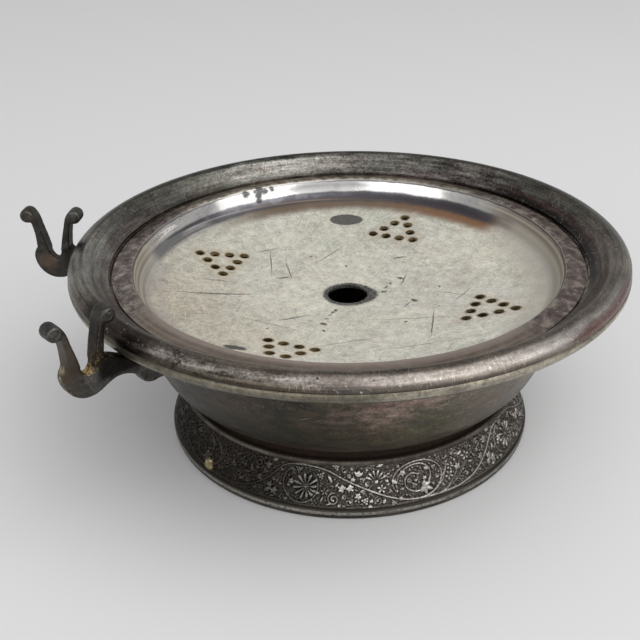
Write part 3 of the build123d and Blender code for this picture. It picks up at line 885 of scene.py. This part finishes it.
def foliage_strip():
    """The rolled pattern: a running stem with a daisy roundel and a large scroll."""
    s = Strip()

    # running stem: up to the roundel, over it, down under the scroll and up again
    s.stroke([(-26, 0.9), (-19, 2.2), (-13, 5.4), (-9, 9.2), (-6, 12), (-2.5, 13), (3, 13), (8, 11.9),
              (13, 9.3), (20, 6), (27, 3), (33, 1.4), (41, 0.9), (50, 0.9)],
             [0.32, 0.32, 0.3, 0.32, 0.34, 0.32, 0.3, 0.32], 0.95)

    # roundel: an open ring round the daisy
    s.stroke(ellipse(-0.6, 6.7, 5.6, 5.6, 120, 411), [0.3, 0.3, 0.28, 0.24], 0.9)
    daisy = (1.2, 6.1)
    for turn in range(8, 368, 30):
        s.petal(*daisy, turn, 1.35, 3.9 if 20 < turn < 250 else 3, 0.56, 1)
    for turn in range(0, 360, 45):
        s.dab(*polar(*daisy, 0.85, turn), 0.3, 0.8)
    s.dab(*daisy, 0.55, 1)
    s.curl(-3.9, 3.2, 200, -1.1, 1.1, 0.4, 0.2, 0.7, 0.3)

    # great scroll with its spiral and vine leaf
    s.stroke(ellipse(36.6, 7, 8.3, 5.9, -90, 215), [0.34, 0.34, 0.32, 0.3, 0.26], 0.95)
    s.stroke([(29.7, 3.9), (29.5, 6.6), (30.8, 9.6), (33.6, 11.6), (37.3, 11.9), (40.2, 10.2), (41, 7.4),
              (39.3, 4.5), (36, 3.3), (32.9, 4.6), (32.3, 7.3), (34.2, 9.2), (36.6, 8.4), (36.3, 6.6)],
             [0.24, 0.3, 0.34, 0.36, 0.32, 0.28], 1)
    s.dab(35.8, 6.7, 0.62, 1)
    each(s.vine_leaf, (38.2, 4.2, -25, 3.4), (32, 9.4, 125, 1.7))
    each(s.sprig, (38.7, 8.2, 60, 2.2), (31.6, 3, -140, 1.8))

    # feathered spray on the right of the scroll
    s.stroke([(42.5, 2.2), (45.5, 5.2), (46.8, 8.6), (45.9, 12)], [0.26, 0.3, 0.28, 0.2], 0.9)
    for t, size in ((0.1, 2.4), (0.3, 2.8), (0.5, 2.8), (0.7, 2.4), (0.9, 1.9)):
        u = 43 + 3.6 * sin(pi * t * 0.62)
        v = 2.4 + 9 * t
        s.leaf(u, v, 62 - 20 * t, size, 0.36, 0.95, 0.2)
        s.leaf(u, v, 118 + 14 * t, size * 0.7, 0.3, 0.85)

    # fine tendrils that rise to the next repeat
    s.stroke([(45, 1), (48.5, 3.2), (52, 7.4), (54, 12.2)], [0.22, 0.24, 0.2], 0.8)
    s.stroke([(43.5, 1), (49.5, 2.6), (54.5, 6.4), (58.5, 9.6)], [0.22, 0.24, 0.2], 0.8)
    each(s.curl, (57.2, 10.8, -40, 1.2, 1.7, 0.5), (51, 11.4, -60, -1.2, 1.4, 0.4))

    # half daisy and sprigs above the falling stem
    for turn in (25, 52, 78, 104, 130, 156):
        s.petal(23.2, 8.3, turn, 0.9, 3.3, 0.38, 0.95)
    s.dab(23.2, 8.1, 0.75, 0.95)
    s.stroke([(20.6, 5.8), (21.8, 7), (23.2, 8)], [0.24, 0.2], 0.8)
    each(s.curl, (27.2, 9.9, 190, -1.3, 1.5, 0.4), (13.2, 11.9, 250, 1.2, 1.2, 0.35, 0.2),
         (20, 11.9, 320, 1.2, 1.1, 0.35, 0.2), (15.9, 12.6, 200, -1, 0.8, 0.3, 0.18))
    each(s.leaf, (9.4, 8, 118, 2.9, 0.62), (10.4, 6.6, 60, 2, 0.45))
    each(s.sprig, (17.3, 8.3, 82, 3.3), (27.6, 5.9, 52, 2.4))

    # under the falling stem
    s.stroke([(7.2, 7.4), (8.6, 5.6), (9.8, 4.9)], [0.2, 0.24], 0.8)
    each(s.curl, (9.9, 3, 80, 1.5, 1.9, 0.45, 0.26, 0.95, 0.5), (14.6, 2.1, 110, -1.3, 1.3, 0.4, 0.22),
         (23.6, 2.2, 60, 1.3, 1.4, 0.4, 0.22))
    each(s.vine_leaf, (12.8, 6.1, 150, 2.1), (17.8, 4.1, 200, 1.8))
    each(s.leaf, (6.6, 3.6, 250, 2.2, 0.42), (7.6, 1.2, 20, 2, 0.4))
    s.berries(19.4, 2.9, -70, 0.85)
    s.sprig(26.6, 1.2, 150, 1.8)

    # left of the roundel, above and below the rising stem
    each(s.curl, (-15.2, 10.8, -20, 1.5, 1.9, 0.45, 0.26, 0.95, 0.5),
         (-20.2, 11.7, 200, -1.2, 1.4, 0.4, 0.22), (-16.3, 2, 100, -1.2, 1.2, 0.35, 0.2),
         (-6.6, 1.9, 180, 1.1, 1, 0.3, 0.2), (-22.6, 4.7, 20, 1.3, 1.5, 0.4, 0.22))
    each(s.vine_leaf, (-11.3, 10.4, 160, 2.2), (-9.4, 3.5, -60, 2.3), (-24.9, 6.4, 100, 2))
    each(s.sprig, (-9.2, 10.8, 96, 2.6), (-13, 4.6, -48, 2.9), (-22.8, 8.9, 110, 2.3))
    each(s.leaf, (-17, 6.8, 120, 2.6, 0.5), (-18.2, 6.2, 170, 2.4, 0.45),
         (-7.8, 7.6, 248, 3, 0.45), (-10.6, 1.2, 12, 2.2, 0.42))
    s.berries(-12.6, 7.9, 110, 0.75)

    # small leaves tucked along both borders
    for k in range(19):
        u = -24 + 4 * k
        s.leaf(u, 12.6, 35 if k % 2 else 150, 1.3, 0.3, 0.75)
        s.leaf(u + 1.7, 1.2, 20 if k % 2 else 160, 1.3, 0.28, 0.7)
    fill_gaps(s)
    matted_ground(s)

    # plain borders
    s.stroke([(0, 13.65), (STRIP_LENGTH, 13.65)], [0.26, 0.26], 0.7)
    s.stroke([(0, 0.45), (STRIP_LENGTH, 0.45)], [0.3, 0.3], 0.6)
    return s.high


def sampled(field, u, v):
    """The field at u, v in millimetres, read between cells; u wraps."""
    rows, columns = field.shape
    x = (u / CELL) % columns
    y = np.clip(v / CELL, 0, rows - 1.001)
    x0 = np.floor(x).astype(int)
    y0 = np.floor(y).astype(int)
    fx = x - x0
    fy = y - y0
    x1 = (x0 + 1) % columns
    x0 = x0 % columns
    low = field[y0, x0] * (1 - fx) + field[y0, x1] * fx
    high = field[y0 + 1, x0] * (1 - fx) + field[y0 + 1, x1] * fx
    return low * (1 - fy) + high * fy


def band_profile(z):
    """Outside radius of the foot band at a height, as the CAD band has it."""
    heights = (BAND_BOTTOM_Z, 6.8, 10.2, 13.6, BAND_TOP_Z)
    radii = (63, 61.5, 60.2, 59.1, 58.3)
    curve = np.polyfit(heights, radii, 4)
    return np.polyval(curve, z)


def mesh_object(name, points, faces, material, smooth=True):
    mesh = bpy.data.meshes.new(name)
    mesh.from_pydata(points, [], faces)
    mesh.validate()
    mesh.update()
    mesh.polygons.foreach_set("use_smooth", [smooth] * len(mesh.polygons))
    mesh.materials.append(material)
    piece = bpy.data.objects.new(name, mesh)
    bpy.context.scene.collection.objects.link(piece)
    return piece


def store(mesh, name, values):
    """Keep a number on each of a mesh's points, for its material to read."""
    layer = mesh.attributes.new(name, "FLOAT", "POINT")
    layer.data.foreach_set("value", values.astype(np.float32))


def relief_band(material):
    """The foot band, with the foliage standing out of a slightly sunk ground."""
    field = foliage_strip()
    columns = REPEATS * COLUMNS_PER_REPEAT
    angle = 2 * pi * np.arange(columns) / columns
    up = np.linspace(0, 1, ROWS)
    z = BAND_BOTTOM_Z + (BAND_TOP_Z - BAND_BOTTOM_Z) * up
    turn, rise = np.meshgrid(angle, up)
    u = (turn - radians(FIRST_ROUNDEL_ANGLE)) / (2 * pi) * REPEATS * STRIP_LENGTH
    height = sampled(field, u, rise * STRIP_HEIGHT)
    grain = np.random.RandomState(5).normal(0, 1, height.shape)
    ground = 1 - np.clip(height * 3, 0, 1)
    border = np.minimum(1, np.minimum(rise, 1 - rise) / BORDER_FADE)
    lift = (height * RELIEF_HEIGHT - GROUND_SINK + GROUND_GRAIN * grain * ground) * border
    radius = band_profile(z)[:, None] + lift
    outer = np.stack([radius * np.cos(turn), radius * np.sin(turn),
                      np.repeat(z[:, None], columns, 1)], -1)
    rows_in = (BAND_TOP_Z, (BAND_BOTTOM_Z + BAND_TOP_Z) / 2, BAND_BOTTOM_Z)
    inner = []
    for level in rows_in:
        r = band_profile(level) - BAND_THICKNESS
        inner.append(np.stack([r * np.cos(angle), r * np.sin(angle), np.full(columns, level)], -1))
    grid = np.concatenate([outer, np.array(inner)], 0)
    total = grid.shape[0]
    index = np.arange(total * columns).reshape(total, columns)
    below = index
    above = np.roll(index, -1, 0)
    faces = np.stack([below, np.roll(below, -1, 1), np.roll(above, -1, 1), above], -1).reshape(-1, 4)
    piece = mesh_object("foot_band_relief", (grid.reshape(-1, 3) * MM).tolist(), faces.tolist(), material)
    # hollow: how far each point lies below the nearby relief, which the material darkens with oxide and
    # painted shade
    around = sampled(nearby_height(field, 0.6), u, rise * STRIP_HEIGHT)
    for name, value in (("relief", height), ("hollow", around - height)):
        shown = np.zeros((total, columns))
        shown[:ROWS] = np.clip(value, 0, 1)
        store(piece.data, name, shown.reshape(-1))
    return piece


# ---- Knife rests: the CAD castings with their edges worn round ----
REST_VOXEL = 0.24
PULL = 0.6                   # share of the way a point moves to its neighbours' mean in one pass
SOFTENING_PASSES = 14
BLENDING_PASSES = 60
WEAR_PASSES = 20
STEP_Z = 61.5                # where the thin body meets the thicker prongs
STEP_REACH = 5
GROOVE_PITCH = 1.7
GROOVE_DEPTH = 0.14
SCROLL_RADIUS = 2.1


def neighbour_mean(edges, count, values):
    """Mean of each point's neighbours' values."""
    total = np.zeros_like(values)
    np.add.at(total, edges[:, 0], values[edges[:, 1]])
    np.add.at(total, edges[:, 1], values[edges[:, 0]])
    number = np.bincount(edges.reshape(-1), minlength=count).astype(float)
    return total / np.maximum(number, 1)[:, None]


def read(items, name, width, kind=float):
    """A property of a mesh's items, as an array with a row for each item."""
    values = np.zeros(len(items) * width, dtype=kind)
    items.foreach_get(name, values)
    return values.reshape(-1, width)


def cast_rest(node, material):
    """A close-meshed copy of a rest with softened edges and scrolled drum faces."""
    source = nodes[node]
    piece = bpy.data.objects.new(node + "_cast", source.data.copy())
    bpy.context.scene.collection.objects.link(piece)
    remesh = piece.modifiers.new("remesh", "REMESH")
    remesh.mode = "VOXEL"
    remesh.voxel_size = REST_VOXEL * MM
    graph = bpy.context.evaluated_depsgraph_get()
    shaped = bpy.data.meshes.new_from_object(piece.evaluated_get(graph))
    piece.modifiers.clear()
    piece.data = shaped

    turn = radians(REST_ANGLES[node])
    count = len(shaped.vertices)
    place = read(shaped.vertices, "co", 3) / MM
    edges = read(shaped.edges, "vertices", 2, np.int64)
    for _ in range(SOFTENING_PASSES):
        place += PULL * (neighbour_mean(edges, count, place) - place)
    # the step from the thin body to the thicker prongs is cast as one flowing shape
    step = np.clip(1 - np.abs(place[:, 2] - STEP_Z) / STEP_REACH, 0, 1)[:, None]
    side = np.array([-sin(turn), cos(turn), 0])
    for _ in range(BLENDING_PASSES):
        pull = (neighbour_mean(edges, count, place) - place) @ side
        place += PULL * step * pull[:, None] * side

    # spiral groove on the flat ends of the scroll drums
    along = place[:, 0] * cos(turn) + place[:, 1] * sin(turn)
    across = -place[:, 0] * sin(turn) + place[:, 1] * cos(turn)
    for centre, sense in ((OUTER_SCROLL, 1), (INNER_SCROLL, -1)):
        dx = along - centre[0]
        dz = place[:, 2] - centre[1]
        reach = np.hypot(dx, dz)
        phase = np.arctan2(dz, dx * sense) + 2 * pi * reach / GROOVE_PITCH
        depth = GROOVE_DEPTH * np.clip(np.cos(phase), 0, 1)
        depth *= np.clip((SCROLL_RADIUS - reach) / 0.4, 0, 1)
        depth *= np.clip((np.abs(across) - 2) / 0.5, 0, 1)
        push = -np.sign(across) * depth
        place[:, 0] += push * -sin(turn)
        place[:, 1] += push * cos(turn)

    shaped.vertices.foreach_set("co", (place * MM).reshape(-1))
    shaped.update()
    normals = read(shaped.vertices, "normal", 3)
    smoothed = place.copy()
    for _ in range(WEAR_PASSES):
        smoothed = neighbour_mean(edges, count, smoothed)
    proud = ((place - smoothed) * normals).sum(1)
    wear = np.clip(0.5 + proud * 2.2, 0, 1)
    store(shaped, "wear", wear)
    shaped.polygons.foreach_set("use_smooth", [True] * len(shaped.polygons))
    shaped.materials.clear()
    shaped.materials.append(material)
    return piece


# ---- Put the materials on and swap the two kinds of piece ----
def paint(node, material):
    for place in nodes[node].material_slots:
        place.material = material


paint("bowl", bowl_material())
paint("rim_moulding", rim_material())
paint("rim_edge_band", edge_band_material())
paint("drainer_plate", drainer_material())
paint("foot_collar", collar_material())
paint("foot_edge_wire", wire_material())
paint("drainer_seat_ring", bowl_material())

band = relief_band(foot_material())
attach(band, "dish")
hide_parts("foot_band")

for rest_node, rest_metal in (
    ("front_knife_rest", front_rest_material()),
    ("rear_knife_rest", rear_rest_material()),
):
    rest = cast_rest(rest_node, rest_metal)
    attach(rest, "dish")
    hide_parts(rest_node)


# ---- Floor, light, camera ----
def plain_floor():
    material = bpy.data.materials.new("pale_floor")
    material.use_nodes = True
    shader = material.node_tree.nodes["Principled BSDF"]
    shader.inputs["Base Color"].default_value = (0.76, 0.76, 0.765, 1.0)
    shader.inputs["Roughness"].default_value = 0.85
    shader.inputs["Specular IOR Level"].default_value = 0.15
    half = 8.0               # metres, far past the edges of the view
    corners = [(-half, -half, 0.0), (half, -half, 0.0), (half, half, 0.0), (-half, half, 0.0)]
    floor = mesh_object("studio_floor", corners, [(0, 1, 2, 3)], material, False)


def soft_light(name, place, aim, size, power):
    lamp = bpy.data.lights.new(name, "AREA")
    lamp.shape = "RECTANGLE"
    lamp.size = size[0]
    lamp.size_y = size[1]
    lamp.energy = power
    holder = bpy.data.objects.new(name, lamp)
    holder.location = place
    holder.rotation_euler = (Vector(aim) - Vector(place)).to_track_quat("-Z", "Y").to_euler()
    bpy.context.scene.collection.objects.link(holder)


def studio_world():
    """Soft grey surroundings, brightest overhead and dim near the horizon."""
    world = bpy.data.worlds.new("studio")
    bpy.context.scene.world = world
    world.use_nodes = True
    tree = world.node_tree
    background = tree.nodes["Background"]
    place = tree.nodes.new("ShaderNodeTexCoord")
    height = tree.nodes.new("ShaderNodeVectorMath")
    height.operation = "DOT_PRODUCT"
    height.inputs[1].default_value = (0.14, -0.44, 0.89)
    tree.links.new(place.outputs["Generated"], height.inputs[0])
    ramp = tree.nodes.new("ShaderNodeValToRGB")
    tree.links.new(height.outputs["Value"], ramp.inputs[0])
    steps = ((0.0, 0.42), (0.3, 0.42), (0.5, 0.34), (0.75, 0.55), (1.0, 1.0))
    while len(ramp.color_ramp.elements) < len(steps):
        ramp.color_ramp.elements.new(0.5)
    for element, (at, grey) in zip(ramp.color_ramp.elements, steps):
        element.position = at
        element.color = (grey, grey, grey, 1.0)
    tree.links.new(ramp.outputs[0], background.inputs["Color"])
    background.inputs["Strength"].default_value = 1.16


def place_camera():
    """A normal lens, a little above and to the left of the dish's front."""
    yaw = 0.3157
    pitch = 0.4963
    roll = -0.0251
    forward = Vector((sin(yaw) * cos(pitch), cos(yaw) * cos(pitch), -sin(pitch)))
    level_right = Vector((cos(yaw), -sin(yaw), 0.0))
    level_up = level_right.cross(forward)
    right = level_right * cos(roll) + level_up * sin(roll)
    up = level_up * cos(roll) - level_right * sin(roll)
    lens = bpy.data.cameras.new("camera")
    lens.lens = 53.44
    lens.sensor_width = 36.0
    lens.clip_start = 0.01
    camera = bpy.data.objects.new("camera", lens)
    turn = Matrix((right, up, -forward)).transposed()
    camera.matrix_world = Matrix.Translation((-0.10018, -0.27526, 0.19484)) @ turn.to_4x4()
    bpy.context.scene.collection.objects.link(camera)
    bpy.context.scene.camera = camera


plain_floor()
studio_world()
soft_light("overhead", (0.4, -0.48, 0.84), (0.0, 0.0, 0.05), (0.8, 0.8), 2.8)
soft_light("front", (-0.45, -1.4, 0.62), (0.0, 0.0, 0.03), (3.0, 1.0), 2.6)
soft_light("front_left", (-1.22, -0.85, 0.64), (0.0, 0.0, 0.03), (1.35, 1.0), 5.3)
soft_light("front_right", (0.9, -1.2, 0.58), (0.0, 0.0, 0.03), (1.25, 0.9), 4.5)
place_camera()
bpy.context.scene.view_settings.view_transform = "Standard"
